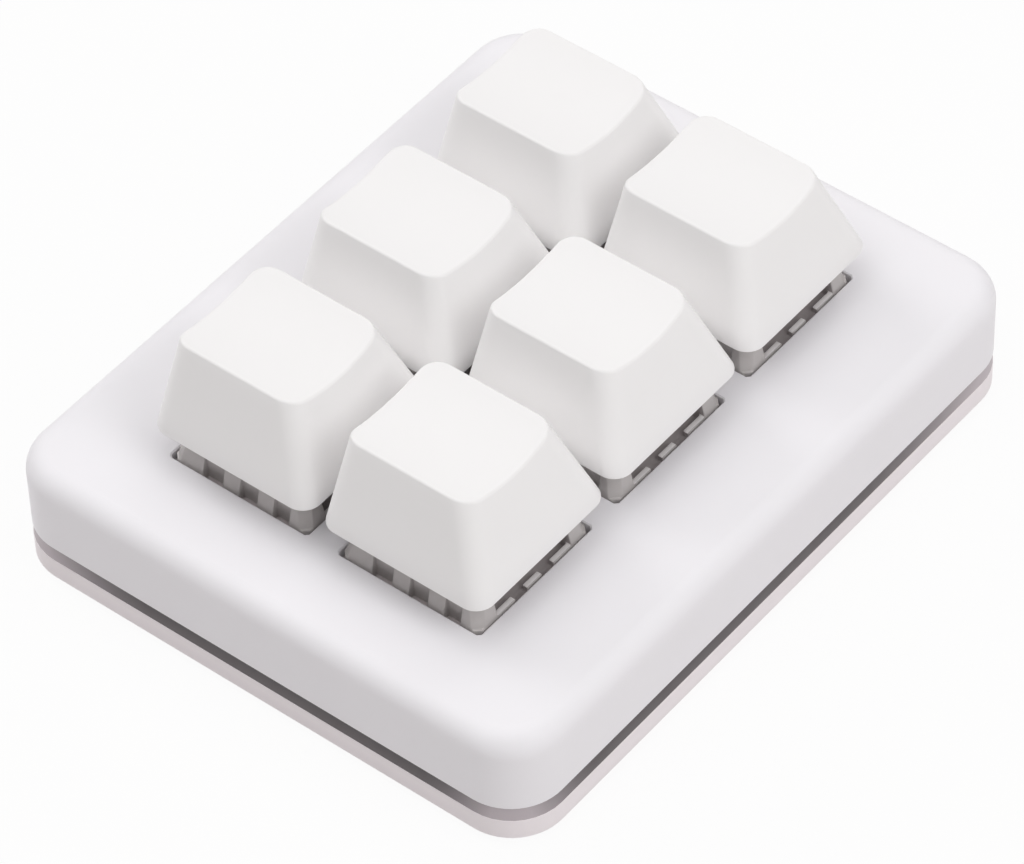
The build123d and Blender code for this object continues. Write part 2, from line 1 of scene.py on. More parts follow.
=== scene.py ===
# %% [markdown]
# A small macro keypad, finished in Blender
#
# The object is a desk keypad: six dished keycaps on square switches, in a white case of two shells with
# a grey band between them. Its solids come from a CAD model at real size. This lesson adds what the CAD
# model leaves out: soft edges, the moulded grain of the plastics, light, and the view of the photograph.

# %% Load the solids
import json
import math

import bmesh
import bpy
from mathutils import Matrix, Vector


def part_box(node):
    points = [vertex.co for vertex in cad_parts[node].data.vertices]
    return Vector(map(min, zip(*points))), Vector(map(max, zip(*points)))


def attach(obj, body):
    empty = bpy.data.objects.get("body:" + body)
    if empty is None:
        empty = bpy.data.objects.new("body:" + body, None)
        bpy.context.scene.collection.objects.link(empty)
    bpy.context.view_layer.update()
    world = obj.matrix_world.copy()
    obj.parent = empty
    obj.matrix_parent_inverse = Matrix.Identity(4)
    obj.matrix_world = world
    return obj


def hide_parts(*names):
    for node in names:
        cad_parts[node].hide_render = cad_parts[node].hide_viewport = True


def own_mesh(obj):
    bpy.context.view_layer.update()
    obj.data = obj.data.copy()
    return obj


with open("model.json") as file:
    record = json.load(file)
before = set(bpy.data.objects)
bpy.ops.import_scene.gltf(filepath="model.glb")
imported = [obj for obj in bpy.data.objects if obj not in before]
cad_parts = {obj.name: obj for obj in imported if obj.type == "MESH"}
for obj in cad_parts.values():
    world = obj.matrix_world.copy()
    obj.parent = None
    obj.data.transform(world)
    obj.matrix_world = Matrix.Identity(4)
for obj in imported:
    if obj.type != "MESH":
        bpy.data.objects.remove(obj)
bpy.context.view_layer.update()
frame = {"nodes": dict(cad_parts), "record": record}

MM = 0.001
nodes = frame["nodes"]
keys = [name.removeprefix("keycap_") for name in nodes if name.startswith("keycap_")]
print(f"{len(nodes)} solids, {len(keys)} keys")

# %% [markdown]
# The camera
#
# The photograph was taken from the front left, from above, through a long lens. The numbers below come
# from fitting a pinhole camera to the case's edges and the keycaps' corners, so they describe one real
# place in the room. Building the camera from three axes, and not from Euler angles, keeps the small
# roll of the picture in the same sum as the view direction.

# %% Place the camera
PHOTO_WIDTH_PIXELS = 1024
FOCAL_LENGTH_PIXELS = 5848.3
VIEW_AZIMUTH = math.radians(-50.09)
VIEW_ELEVATION = math.radians(46.74)
VIEW_ROLL = math.radians(-2.05)
VIEW_DISTANCE = 527.4 * MM
AIM_RIGHT = -0.628 * MM
AIM_UP = 2.334 * MM
NEAR_CLIP = 10 * MM


def add_object(name, data):
    """An object with the given data, linked to the scene."""
    thing = bpy.data.objects.new(name, data)
    bpy.context.scene.collection.objects.link(thing)
    return thing


def photo_camera():
    """A camera at the photograph's place, aimed at the foot of the case."""
    back = Vector((
        math.sin(VIEW_AZIMUTH) * math.cos(VIEW_ELEVATION),
        -math.cos(VIEW_AZIMUTH) * math.cos(VIEW_ELEVATION),
        math.sin(VIEW_ELEVATION),
    ))
    level = Vector((math.cos(VIEW_AZIMUTH), math.sin(VIEW_AZIMUTH), 0))
    upright = back.cross(level)
    right = level * math.cos(VIEW_ROLL) + upright * math.sin(VIEW_ROLL)
    up = upright * math.cos(VIEW_ROLL) - level * math.sin(VIEW_ROLL)
    foot = Vector((0, 0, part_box("bottom_case")[0].z))
    eye = foot + back * VIEW_DISTANCE + right * AIM_RIGHT + up * AIM_UP
    lens = bpy.data.cameras.new("photo_view")
    lens.lens = FOCAL_LENGTH_PIXELS / PHOTO_WIDTH_PIXELS * lens.sensor_width
    lens.clip_start = NEAR_CLIP
    camera = add_object("photo_view", lens)
    camera.matrix_world = Matrix.Translation(eye) @ Matrix((right, up, back)).transposed().to_4x4()
    return camera


bpy.context.scene.camera = photo_camera()
print(f"lens of {bpy.context.scene.camera.data.lens:.0f} mm")

# %% [markdown]
# Finishes: how each one starts
#
# Every finish is a Principled shader with procedural grain, so nothing depends on an image or on UVs.
# The grain is noise in object coordinates, which are metres here, so a grain size in millimetres can be
# written as it is. What varies over a surface is a signal: noise gives one, a ramp stretches it between
# two limits, and a sum or a product joins two of them.

# %% Finishes and signals
EVEN = (1, 1, 1)


def new_finish(name, **settings):
    """A material with a Principled shader whose sockets are set by name."""
    finish = bpy.data.materials.new(name)
    finish.use_nodes = True
    shader = finish.node_tree.nodes["Principled BSDF"]
    for socket, value in settings.items():
        shader.inputs[socket.replace("_", " ")].default_value = value
    return finish, shader


def noise(tree, grain, detail=2.0, stretch=EVEN):
    """Noise in object coordinates, whose spots are about as large as the grain."""
    where = tree.nodes.new("ShaderNodeTexCoord")
    scale = tree.nodes.new("ShaderNodeMapping")
    scale.inputs["Scale"].default_value = [s / grain for s in stretch]
    spots = tree.nodes.new("ShaderNodeTexNoise")
    spots.inputs["Scale"].default_value = 1.0
    spots.inputs["Detail"].default_value = detail
    tree.links.new(where.outputs["Object"], scale.inputs["Vector"])
    tree.links.new(scale.outputs["Vector"], spots.inputs["Vector"])
    return spots.outputs["Fac"]


def ramp(tree, signal, start, end, low=0.0, high=1.0):
    """A signal that goes from low to high while another one goes from start to end."""
    spread = tree.nodes.new("ShaderNodeMapRange")
    spread.inputs["From Min"].default_value = start
    spread.inputs["From Max"].default_value = end
    spread.inputs["To Min"].default_value = low
    spread.inputs["To Max"].default_value = high
    tree.links.new(signal, spread.inputs["Value"])
    return spread.outputs["Result"]


def joined(tree, operation, first, second):
    """Two signals joined by a sum, a product or another operation."""
    both = tree.nodes.new("ShaderNodeMath")
    both.operation = operation
    tree.links.new(first, both.inputs[0])
    tree.links.new(second, both.inputs[1])
    return both.outputs[0]


print("signals: noise, ramps and sums")

# %% [markdown]
# From signals to a surface
#
# Real mouldings are never quite even in colour or gloss. So most finishes here share one recipe: soft
# clouds of two close colours, a roughness that drifts from patch to patch, and a fine raised grain. Each
# finish is then only a few colours and sizes. The noise seldom leaves the middle of its range, so the
# drift is stretched from there.

# %% Surface recipe
NOISE_LOW = 0.3
NOISE_HIGH = 0.7
CLOUD_DETAIL = 3.0


def mix_colours(tree, shader, first, second, factor):
    """Gives a shader two colours, mixed by a signal."""
    mix = tree.nodes.new("ShaderNodeMix")
    mix.data_type = "RGBA"
    mix.inputs["A"].default_value = (*first, 1)
    mix.inputs["B"].default_value = (*second, 1)
    tree.links.new(factor, mix.inputs["Factor"])
    tree.links.new(mix.outputs["Result"], shader.inputs["Base Color"])


def drift_roughness(tree, shader, limits, patches):
    """Lets a shader's roughness drift between two limits over the surface."""
    drift = ramp(tree, noise(tree, patches), NOISE_LOW, NOISE_HIGH, *limits)
    tree.links.new(drift, shader.inputs["Roughness"])


def bump(tree, shader, height, depth):
    """Raises the surface by a height signal, as deep as the depth."""
    relief = tree.nodes.new("ShaderNodeBump")
    relief.inputs["Strength"].default_value = 1.0
    relief.inputs["Distance"].default_value = depth
    tree.links.new(height, relief.inputs["Height"])
    tree.links.new(relief.outputs["Normal"], shader.inputs["Normal"])


def mottled(name, colours, clouds, roughness, patches, grain, depth, detail=2.0, along=EVEN, **settings):
    """A finish with clouds of two close colours, a drifting roughness and a fine raised grain."""
    finish, shader = new_finish(name, **settings)
    tree = finish.node_tree
    mix_colours(tree, shader, *colours, noise(tree, clouds, CLOUD_DETAIL, along))
    drift_roughness(tree, shader, roughness, patches)
    bump(tree, shader, noise(tree, grain, detail, along), depth)
    return finish


print("one recipe for plastics and metals")

# %% [markdown]
# White plastics
#
# The case is a matte moulding with a fine spark-eroded grain, slightly cool in tone, and its lower shell
# comes from a warmer batch. The keycaps are a denser, warmer plastic with a silkier skin. The whites
# have to differ a little, as in the photograph, where the caps stand out against the deck by tone alone.

# %% Case and keycap plastic
SHELL_WHITES = ((0.930, 0.914, 0.944), (0.944, 0.928, 0.956))
TRAY_WHITES = ((0.958, 0.903, 0.926), (0.972, 0.917, 0.938))
KEYCAP_WHITES = ((0.955, 0.943, 0.942), (0.965, 0.953, 0.952))


def moulded_shell(name, whites):
    """White case plastic with a fine matte grain."""
    return mottled(
        name, whites, clouds=9 * MM, roughness=(0.52, 0.64), patches=3 * MM,
        grain=0.22 * MM, depth=0.004 * MM, detail=3.0, Specular_IOR_Level=0.35,
    )


def keycap_plastic():
    """Warm white keycap plastic with a silky skin."""
    return mottled(
        "keycap_plastic", KEYCAP_WHITES, clouds=6 * MM, roughness=(0.44, 0.54), patches=2 * MM,
        grain=0.3 * MM, depth=0.003 * MM, Specular_IOR_Level=0.4,
    )


finishes = {
    "shell_white": moulded_shell("moulded_shell", SHELL_WHITES),
    "keycap_white": keycap_plastic(),
}
tray_finish = moulded_shell("moulded_tray", TRAY_WHITES)
print("white plastics:", ", ".join(f.name for f in [*finishes.values(), tray_finish]))

# %% [markdown]
# Grey plastics
#
# Each switch has a smoky, slightly warm upper half, a lower half of like plastic and a darker stem. The
# port's tongue, the small parts on the board and the rubber feet have the same recipe, so one function
# makes them all from a colour, a roughness and a grain.

# %% Grey plastic and rubber
GREY_CLOUD_SPREAD = 0.08
GREY_GLOSS_SPREAD = 0.05
GREYS = {
    "housing_grey": ("housing_plastic", (0.55, 0.522, 0.513), 0.38, 0.25 * MM),
    "base_grey": ("base_plastic", (0.66, 0.61, 0.61), 0.42, 0.25 * MM),
    "stem_plastic": ("stem_plastic", (0.42, 0.42, 0.43), 0.30, 0.30 * MM),
    "port_black": ("port_plastic", (0.025, 0.025, 0.026), 0.45, 0.15 * MM),
    "chip_black": ("chip_plastic", (0.035, 0.035, 0.038), 0.55, 0.10 * MM),
    "capacitor_tan": ("capacitor_ceramic", (0.36, 0.25, 0.15), 0.35, 0.10 * MM),
    "foot_rubber": ("foot_rubber", (0.045, 0.045, 0.048), 0.85, 0.18 * MM),
}


def grey_plastic(name, colour, roughness, grain):
    """A satin plastic with faint clouds from the flow of the melt."""
    shades = [[(1 + spread) * c for c in colour] for spread in (-GREY_CLOUD_SPREAD, GREY_CLOUD_SPREAD)]
    return mottled(
        name, shades, clouds=1.5 * MM, patches=1.2 * MM, grain=grain, depth=0.004 * MM,
        roughness=(roughness - GREY_GLOSS_SPREAD, roughness + GREY_GLOSS_SPREAD), Specular_IOR_Level=0.5,
    )


for slot, (name, colour, roughness, grain) in GREYS.items():
    finishes[slot] = grey_plastic(name, colour, roughness, grain)
print(len(finishes), "plastic and rubber finishes")

# %% [markdown]
# The band between the shells
#
# The band is a frosted strip of smoky acrylic, dark along the straight sides. At the rounded corners its
# colour turns pale, over a longer stretch towards the right and the back: painted light, for light that
# would pass through the corners from two sides. A product of two ramps, one along each side and squared
# for a slow start, marks the corners. A third ramp, down the band, adds a little painted light at its
# foot, for the light that the white shell below throws up.

# %% Painted light on the band
BAND_FADE_LEFT = (10.5 * MM, 2.0 * MM)
BAND_FADE_RIGHT = (26.0 * MM, 5.0 * MM)
BAND_FADE_FRONT = (11.2 * MM, 3.3 * MM)
BAND_FADE_BACK = (18.0 * MM, 4.3 * MM)
# Share of painted light at the band's foot, for light thrown up by the white shell below.
BAND_FOOT_PAINTED_LIGHT = 0.10


def end_ramp(tree, along, end, fade):
    """A signal that rises from 0 to 1 towards one end of the band, between two distances from it."""
    start, stop = (end - math.copysign(distance, end) for distance in fade)
    return ramp(tree, along, start, stop)


def painted_light_places(tree):
    """Where light is painted on the band: 0 along its sides, 1 at its corners, slightly raised at its
    foot.
    """
    low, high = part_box("seam_band")
    where = tree.nodes.new("ShaderNodeTexCoord")
    axes = tree.nodes.new("ShaderNodeSeparateXYZ")
    tree.links.new(where.outputs["Object"], axes.inputs["Vector"])
    x, y, z = axes.outputs
    left, right = end_ramp(tree, x, low.x, BAND_FADE_LEFT), end_ramp(tree, x, high.x, BAND_FADE_RIGHT)
    front, back = end_ramp(tree, y, low.y, BAND_FADE_FRONT), end_ramp(tree, y, high.y, BAND_FADE_BACK)
    corner = joined(tree, "MULTIPLY", joined(tree, "ADD", left, right), joined(tree, "ADD", front, back))
    foot = ramp(tree, z, high.z, low.z, high=BAND_FOOT_PAINTED_LIGHT)
    return joined(tree, "ADD", joined(tree, "MULTIPLY", corner, corner), foot)


# %% Frosted band
BAND_DARK = (0.077, 0.065, 0.067)
# The pale colour is light painted into the band at its corners and foot.
BAND_PAINTED_LIGHT = (0.54, 0.485, 0.513)
BAND_ROUGHNESS = (0.38, 0.50)
BAND_PATCHES = 2 * MM
BAND_FROST = 0.2 * MM
BAND_FROST_DEPTH = 0.004 * MM


def frosted_band_with_painted_light():
    """Smoky acrylic, dark along the sides, with painted light at the corners and a little at the foot."""
    finish, shader = new_finish("frosted_band_with_painted_light", Specular_IOR_Level=0.4)
    tree = finish.node_tree
    # Painted light: the dark colour turns pale at the corners and a little at the foot.
    mix_colours(tree, shader, BAND_DARK, BAND_PAINTED_LIGHT, painted_light_places(tree))
    drift_roughness(tree, shader, BAND_ROUGHNESS, BAND_PATCHES)
    bump(tree, shader, noise(tree, BAND_FROST), BAND_FROST_DEPTH)
    return finish


finishes["seam_grey"] = frosted_band_with_painted_light()
print(finishes["seam_grey"].name, "ready")

# %% [markdown]
# Bare and coated metal
#
# Drawn wire and rolled sheet show fine lines along the working direction, so their noise is stretched
# that way. The plate is powder coated, which leaves an orange-peel skin.

# %% Metal finishes
LINE_SQUEEZE = 0.08
ALONG_X = (LINE_SQUEEZE, 1, 1)
ALONG_Y = (1, LINE_SQUEEZE, 1)
ALONG_Z = (1, 1, LINE_SQUEEZE)
METAL_DULL_SHARE = 0.9
METAL_SMOOTHER = 0.06
METAL_ROUGHER = 0.08
METALS = {
    "spring_steel": ("spring_wire", (0.62, 0.62, 0.63), 0.25, ALONG_X),
    "contact_brass": ("contact_strip", (0.80, 0.58, 0.26), 0.28, ALONG_Z),
    "screw_steel": ("screw_steel", (0.42, 0.42, 0.44), 0.32, ALONG_Z),
    "port_steel": ("port_sheet", (0.66, 0.66, 0.67), 0.26, ALONG_Y),
}
COAT_WHITES = ((0.70, 0.70, 0.71), (0.74, 0.74, 0.75))
COAT_CLOUDS = 4 * MM
COAT_PEEL = 0.5 * MM
COAT_PEEL_DEPTH = 0.02 * MM


def drawn_metal(name, colour, roughness, along):
    """Bare metal with fine lines along the way it was drawn or rolled."""
    return mottled(
        name, ([METAL_DULL_SHARE * c for c in colour], colour), clouds=0.08 * MM,
        roughness=(roughness - METAL_SMOOTHER, roughness + METAL_ROUGHER), patches=0.5 * MM,
        grain=0.06 * MM, depth=0.002 * MM, along=along, Metallic=1.0,
    )


def powder_coat():
    """White powder coat with an orange-peel skin."""
    finish, shader = new_finish("powder_coat", Roughness=0.5)
    tree = finish.node_tree
    mix_colours(tree, shader, *COAT_WHITES, noise(tree, COAT_CLOUDS, CLOUD_DETAIL))
    bump(tree, shader, noise(tree, COAT_PEEL, detail=1.0), COAT_PEEL_DEPTH)
    return finish


for slot, (name, colour, roughness, along) in METALS.items():
    finishes[slot] = drawn_metal(name, colour, roughness, along)
finishes["plate_steel"] = powder_coat()
print(len(METALS), "bare metals and a coated one")

# %% [markdown]
# The board
#
# The board is dark solder mask, with a faint square pattern of buried copper. A brick texture without
# an offset between its rows gives the squares and their height in one node.

# %% Solder mask
BOARD_PITCH = 1.27 * MM
BOARD_LINE_SHARE = 0.06
BOARD_ROW_SHARE = 0.5
BOARD_STEP = 0.01 * MM
BOARD_COLOURS = {
    "Color1": (0.010, 0.022, 0.016, 1),
    "Color2": (0.012, 0.026, 0.019, 1),
    "Mortar": (0.006, 0.012, 0.009, 1),
}


def solder_mask():
    """Dark solder mask over squares of buried copper."""
    finish, shader = new_finish("solder_mask", Roughness=0.3)
    tree = finish.node_tree
    where = tree.nodes.new("ShaderNodeTexCoord")
    squares = tree.nodes.new("ShaderNodeTexBrick")
    squares.offset = 0.0
    squares.inputs["Scale"].default_value = 1 / BOARD_PITCH
    squares.inputs["Mortar Size"].default_value = BOARD_LINE_SHARE
    squares.inputs["Row Height"].default_value = BOARD_ROW_SHARE
    for socket, colour in BOARD_COLOURS.items():
        squares.inputs[socket].default_value = colour
    tree.links.new(where.outputs["Object"], squares.inputs["Vector"])
    tree.links.new(squares.outputs["Color"], shader.inputs["Base Color"])
    bump(tree, shader, squares.outputs["Fac"], -BOARD_STEP)
    return finish


finishes["board_dark"] = solder_mask()
print(finishes["board_dark"].name, "ready")

# %% [markdown]
# Finishes on the solids
#
# The CAD model's record names a material slot for each solid, and the finishes are kept under the same
# names. Only the lower shell differs: it shares its slot with the upper one and gets the warmer white.

# %% Put the finishes on
own_finish = {"bottom_case": tray_finish}
for part in frame["record"]["subparts"]:
    materials = nodes[part["node"]].data.materials
    materials.clear()
    materials.append(own_finish.get(part["node"], finishes[part["material_slot"]]))
print(len(finishes) + len(own_finish), "finishes on", len(nodes), "solids")

# %% [markdown]
# New pieces
#
# A new piece is a mesh that rides on a CAD body, and may stand for a CAD solid. One helper turns a
# bmesh into such a piece, shades it smooth and keeps the edges sharp where two faces meet at a clear
# angle.

# %% Turn a bmesh into a piece
SHARP_ANGLE = math.radians(40)


def mesh_from(name, bm):
    """A mesh with the bmesh's faces."""
    mesh = bpy.data.meshes.new(name)
    bm.to_mesh(mesh)
    bm.free()
    return mesh


def add_piece(name, bm, body, slot, stands_for=()):
    """A mesh piece that rides on a body, takes a slot's finish and may stand for CAD solids."""
    mesh = mesh_from(name, bm)
    mesh.shade_smooth()
    mesh.set_sharp_from_angle(angle=SHARP_ANGLE)
    mesh.materials.append(finishes[slot])
    piece = add_object(name, mesh)
    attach(piece, body)
    if stands_for:
        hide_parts(*stands_for)
    return piece


print(f"edges over {math.degrees(SHARP_ANGLE):.0f} degrees stay sharp")

# %% [markdown]
# A keycap in rings
#
# A real keycap is injection moulded: flat leaning sides, rounded corners, a dished top and a thin soft
# edge where they meet. A subdivision cage would round the corners but also shrink the flat sides, so
# this cap is lofted. Each ring is a rounded rectangle with the same number of points, and the rings run
# in one unbroken skin: from the middle of the hollow's ceiling down to the lower lip, up the outside,
# over the soft edge and in to the middle of the dish.

# %% Keycap sizes
CAP_LEAN_SIDE = 2.95 * MM
CAP_LEAN_FRONT = 3.5 * MM
CAP_LEAN_BACK = 1.0 * MM
CAP_CORNER = 1.9 * MM
CAP_LEAST_CORNER = 0.25 * CAP_CORNER
CAP_DISH = 0.93 * MM
CAP_WALL = 1.0 * MM
CAP_ROOF = 1.4 * MM

cap_low, cap_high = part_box("keycap_front_left")
cap_half = (cap_high.x - cap_low.x) / 2
cap_height = cap_high.z - cap_low.z
cap_ceiling = cap_height - CAP_DISH - CAP_ROOF
dish_half = cap_half - CAP_LEAN_SIDE
dish_radius = (dish_half**2 + CAP_DISH**2) / (2 * CAP_DISH)
print(f"cap {2 * cap_half / MM:.1f} mm wide and {cap_height / MM:.2f} mm tall")
print(f"dish radius {dish_radius / MM:.1f} mm")

# %% [markdown]
# One ring
#
# The outline is walked anticlockwise from the front right corner. Corners are arcs and sides are cut
# into equal steps, so that point number 40, say, is at the same place of every ring and the rings can
# be joined by quads without twisting. The brim, where a leaning side meets the dish, has no simple
# formula: its height is guessed and then corrected a few times.

# %% Rounded outline
CORNER_STEPS = 9
SIDE_STEPS = 12


def rounded_outline(half, front, back, corner):
    """Points of a rounded rectangle, anticlockwise, as (x, y) pairs."""
    turns = ((half, front, -90), (half, back, 0), (-half, back, 90), (-half, front, 180))
    corners = []
    for x, y, start in turns:
        middle = (x - math.copysign(corner, x), y + (corner if y == front else -corner))
        angles = [math.radians(start + 90 * i / CORNER_STEPS) for i in range(CORNER_STEPS + 1)]
        corners.append([
            (middle[0] + corner * math.cos(a), middle[1] + corner * math.sin(a)) for a in angles
        ])
    points = []
    for here, there in zip(corners, corners[1:] + corners[:1]):
        points += here
        (x0, y0), (x1, y1) = here[-1], there[0]
        for i in range(1, SIDE_STEPS):
            share = i / SIDE_STEPS
            points.append((x0 + (x1 - x0) * share, y0 + (y1 - y0) * share))
    return points


def cap_outline(level, inset=0.0):
    """The cap's outline at a height above its lower edge, drawn in by an inset."""
    share = level / cap_height
    return rounded_outline(
        cap_half - CAP_LEAN_SIDE * share - inset,
        CAP_LEAN_FRONT * share - cap_half + inset,
        cap_half - CAP_LEAN_BACK * share - inset,
        max(CAP_CORNER - inset, CAP_LEAST_CORNER),
    )


print(len(cap_outline(0)), "points a ring")

# %% Dish and brim
BRIM_PASSES = 6


def dish_level(x):
    """Height of the dished top above the cap's lower edge."""
    reach = min(abs(x), dish_radius)
    return cap_height - CAP_DISH + dish_radius - math.sqrt(dish_radius**2 - reach**2)


def brim_levels():
    """Height of the sharp brim, where side and dish would meet, for each point of the outline."""
    levels = [cap_height] * len(cap_outline(0))
    for _ in range(BRIM_PASSES):
        levels = [dish_level(cap_outline(level)[i][0]) for i, level in enumerate(levels)]
    return levels


brim = brim_levels()
print(f"brim from {min(brim) / MM:.2f} to {max(brim) / MM:.2f} mm above the cap's edge")

# %% [markdown]
# From rings to a cap
#
# The soft edge is a quadratic Bezier curve at every point of the outline: it starts on the side a
# little below the brim, aims at the brim and ends on the dish a little inside it. That gives a round
# of even width on straight sides and around the corners, which a bevel of the finished mesh would not.

# %% Points on the cap
CAP_SOFT_EDGE = 0.26 * MM
CAP_LIP_ROUND = 0.18 * MM


def outer_point(i, level):
    """Point i of the outside at a height of its own."""
    x, y = cap_outline(level)[i]
    return Vector((x, y, level))


def side_point(i, share):
    """Point i of the flat side, from 0 at the lip to 1 where the soft edge starts."""
    return outer_point(i, CAP_LIP_ROUND + (brim[i] - CAP_SOFT_EDGE - CAP_LIP_ROUND) * share)


def soft_edge(i, share):
    """Point i on the round between side and dish, from 0 at the side to 1 at the dish."""
    start = outer_point(i, brim[i] - CAP_SOFT_EDGE)
    aim = outer_point(i, brim[i])
    x, y = cap_outline(brim[i], CAP_SOFT_EDGE)[i]
    end = Vector((x, y, dish_level(x)))
    return start.lerp(aim, share).lerp(aim.lerp(end, share), share)


print(f"soft edge of {CAP_SOFT_EDGE / MM:.2f} mm")

# %% Keycap rings
LIP_ROUND_MIDDLE = 0.3 * CAP_LIP_ROUND
WALL_STEPS = 6
EDGE_STEPS = 5
DISH_SHARES = (0.9, 0.78, 0.64, 0.5, 0.36, 0.22, 0.1)


def level_ring(level, inset):
    """A ring at one height, drawn in by an inset."""
    return [Vector((x, y, level)) for x, y in cap_outline(level, inset)]


def cap_rings():
    """Rings of the cap's skin, from the hollow's ceiling round the lip to the dish."""
    count = range(len(brim))
    rings = [level_ring(level, CAP_WALL) for level in (cap_ceiling, cap_ceiling / 2, CAP_LIP_ROUND)]
    rings += [level_ring(0, inset) for inset in (CAP_WALL - CAP_LIP_ROUND, CAP_LIP_ROUND)]
    rings.append(level_ring(LIP_ROUND_MIDDLE, LIP_ROUND_MIDDLE))
    rings += [[side_point(i, step / WALL_STEPS) for i in count] for step in range(WALL_STEPS)]
    rings += [[soft_edge(i, step / EDGE_STEPS) for i in count] for step in range(EDGE_STEPS + 1)]
    middle = Vector((0, (CAP_LEAN_FRONT - CAP_LEAN_BACK) / 2, 0))
    brink = rings[-1]
    for share in DISH_SHARES:
        inner = [middle.lerp(p, share) for p in brink]
        rings.append([Vector((p.x, p.y, dish_level(p.x))) for p in inner])
    return rings


cap_skin = cap_rings()
print(f"{len(cap_skin)} rings of {len(cap_skin[0])} points")

# %% [markdown]
# The socket under the cap
#
# Inside the cap a round post with a cross-shaped hole grips the switch's stem. It is hidden at rest but
# shows from below, so it is real geometry: the ring between circle and cross is filled with triangles,
# and the walls are pulled up from it. The helpers for skins, loops and walls serve other pieces later.

# %% Skins, loops and walls
def skin(bm, rings):
    """Joins rings by quads and closes the first and the last with a fan."""
    loops = [[bm.verts.new(p) for p in ring] for ring in rings]
    for here, there in zip(loops, loops[1:]):
        add_wall(bm, here, there)
    for loop, order in ((loops[0], -1), (loops[-1], 1)):
        middle = bm.verts.new(sum((v.co for v in loop), Vector()) / len(loop))
        for i in range(len(loop)):
            bm.faces.new((loop[i], loop[(i + 1) % len(loop)], middle)[::order])


def add_loop(bm, outline, level):
    """A closed loop of edges at one height."""
    verts = [bm.verts.new((x, y, level)) for x, y in outline]
    edges = [bm.edges.new((a, b)) for a, b in zip(verts, verts[1:] + verts[:1])]
    return verts, edges


def add_wall(bm, low, high, flip=False):
    """A wall of quads from one loop of vertices to another."""
    for i in range(len(low)):
        j = (i + 1) % len(low)
        bm.faces.new((low[i], low[j], high[j], high[i])[::-1 if flip else 1])


print("rings and loops can be joined")

# %% Socket post and rib
SOCKET_DIAMETER = 5.5 * MM
SOCKET_ARM = 1.28 * MM
SOCKET_WIDTH = 4.08 * MM
SOCKET_DEPTH = 3.75 * MM
SOCKET_SIDES = 48
SOCKET_SINK = 0.3 * MM
SOCKET_CLEARANCE = 0.05 * MM
RIB_THICKNESS = 0.8 * MM
RIB_DROP = 2.27 * MM
housing_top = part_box("switch_top_front_left")[1].z
socket_low = housing_top - cap_low.z + SOCKET_CLEARANCE
socket_high = cap_ceiling + SOCKET_SINK


def cross_outline(arm, width):
    """The twelve corners of a cross, anticlockwise."""
    a, w = arm / 2, width / 2
    right, top = [(w, -a), (w, a), (a, a)], [(a, w), (-a, w), (-a, a)]
    left, bottom = [(-w, a), (-w, -a), (-a, -a)], [(-a, -w), (a, -w), (a, -a)]
    return right + top + left + bottom


def add_socket(bm):
    """The post inside the cap, with its cross-shaped hole."""
    turns = [2 * math.pi * i / SOCKET_SIDES for i in range(SOCKET_SIDES)]
    circle = [(math.cos(t) * SOCKET_DIAMETER / 2, math.sin(t) * SOCKET_DIAMETER / 2) for t in turns]
    cross = cross_outline(SOCKET_ARM, SOCKET_WIDTH)
    rim, rim_edges = add_loop(bm, circle, socket_low)
    hole, hole_edges = add_loop(bm, cross, socket_low)
    bmesh.ops.triangle_fill(bm, edges=rim_edges + hole_edges, use_beauty=True, normal=(0, 0, -1))
    root, _ = add_loop(bm, circle, socket_high)
    end, _ = add_loop(bm, cross, socket_low + SOCKET_DEPTH)
    add_wall(bm, rim, root)
    add_wall(bm, hole, end, flip=True)
    bm.faces.new(root)
    bm.faces.new(end[::-1])


def add_box(bm, middle, size):
    """A box round a middle."""
    bmesh.ops.create_cube(bm, size=1, matrix=Matrix.Translation(middle) @ Matrix.Diagonal((*size, 1)))


def add_rib(bm):
    """The stiffening rib across the hollow, on both sides of the post."""
    reach = cap_half - CAP_LEAN_SIDE * cap_ceiling / cap_height - CAP_WALL
    height = RIB_DROP + SOCKET_SINK / 2
    add_box(bm, (0, 0, socket_high - SOCKET_SINK / 2 - height / 2), (2 * reach, RIB_THICKNESS, height))


print(f"post from {socket_low / MM:.2f} to {socket_high / MM:.2f} mm above the cap's edge")

# %% [markdown]
# Six caps
#
# All six caps have the same shape. Each one is built round the origin, moved over its switch by the box
# of the CAD cap that it stands for, and rides on its own key, so that it goes down with that key.

# %% Six keycaps
def make_keycap(key):
    """One keycap in place of its CAD solid."""
    low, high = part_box(f"keycap_{key}")
    bm = bmesh.new()
    skin(bm, cap_skin)
    add_socket(bm)
    add_rib(bm)
    bmesh.ops.translate(bm, verts=bm.verts, vec=((low.x + high.x) / 2, (low.y + high.y) / 2, low.z))
    return add_piece(f"cap_{key}", bm, f"key_{key}", "keycap_white", [f"keycap_{key}"])


caps = [make_keycap(key) for key in keys]
print(f"{len(caps)} caps of {len(caps[0].data.polygons)} faces")

# %% [markdown]
# Soft edges on the switches
#
# A moulding never has a perfectly sharp edge, and the thin light lines along its edges are what makes
# it look real. The CAD solid of a switch is sharp, so a copy of its mesh is cleaned into flat faces,
# given a small bevel on every hard edge, and shown in its place.

# %% Bevelled switch housings
HOUSING_SOFT_EDGE = 0.09 * MM
HOUSING_EDGE_STEPS = 2
WELD_DISTANCE = 0.001 * MM
FLAT_ANGLE = math.radians(1)
HARD_ANGLE = math.radians(30)


